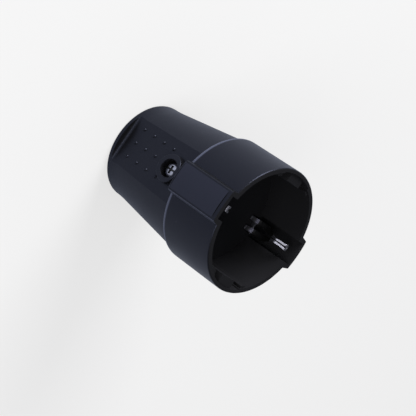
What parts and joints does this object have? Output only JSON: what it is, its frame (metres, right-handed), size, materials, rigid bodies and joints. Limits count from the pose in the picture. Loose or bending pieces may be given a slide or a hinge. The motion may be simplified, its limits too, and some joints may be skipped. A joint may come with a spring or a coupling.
{
  "type": "earthed cable socket connector",
  "caption": "Round earthed cable socket with a plug well, side earth clips, raised side bands and a tapered grip with a cable entry.",
  "frame": {"origin": "centre of the rear face at the cable entry, on the surface that the part stands on", "axes": "+Z along the socket's axis towards the mouth, -Y to the side with the housing screw, X through both live contacts"},
  "size_m": [0.0426, 0.0468, 0.0555],
  "materials": {
    "housing": "black satin moulding",
    "carrier": "dark grey moulding",
    "strap": "nickel-plated spring strip",
    "springs": "spring steel",
    "screws": "zinc-plated steel",
    "brass": "turned and pressed brass",
    "grommet": "soft black rubber"
  },
  "bodies": {
    "root": {"cup_housing": "housing", "contact_holder": "carrier", "rear_grip": "housing", "earth_strap": "strap", "earth_pillar": "brass", "earth_terminal_screw": "screws", "line_contact_left": "brass", "line_contact_right": "brass", "contact_spring_left": "springs", "contact_spring_right": "springs", "terminal_screw_left": "screws", "terminal_screw_right": "screws", "contact_carrier": "carrier", "clamp_bar": "carrier", "clamp_screw_left": "screws", "clamp_screw_right": "screws", "clamp_nut_left": "brass", "clamp_nut_right": "brass", "housing_screw": "screws", "housing_nut": "brass", "cable_grommet": "grommet"}
  },
  "joints": []
}
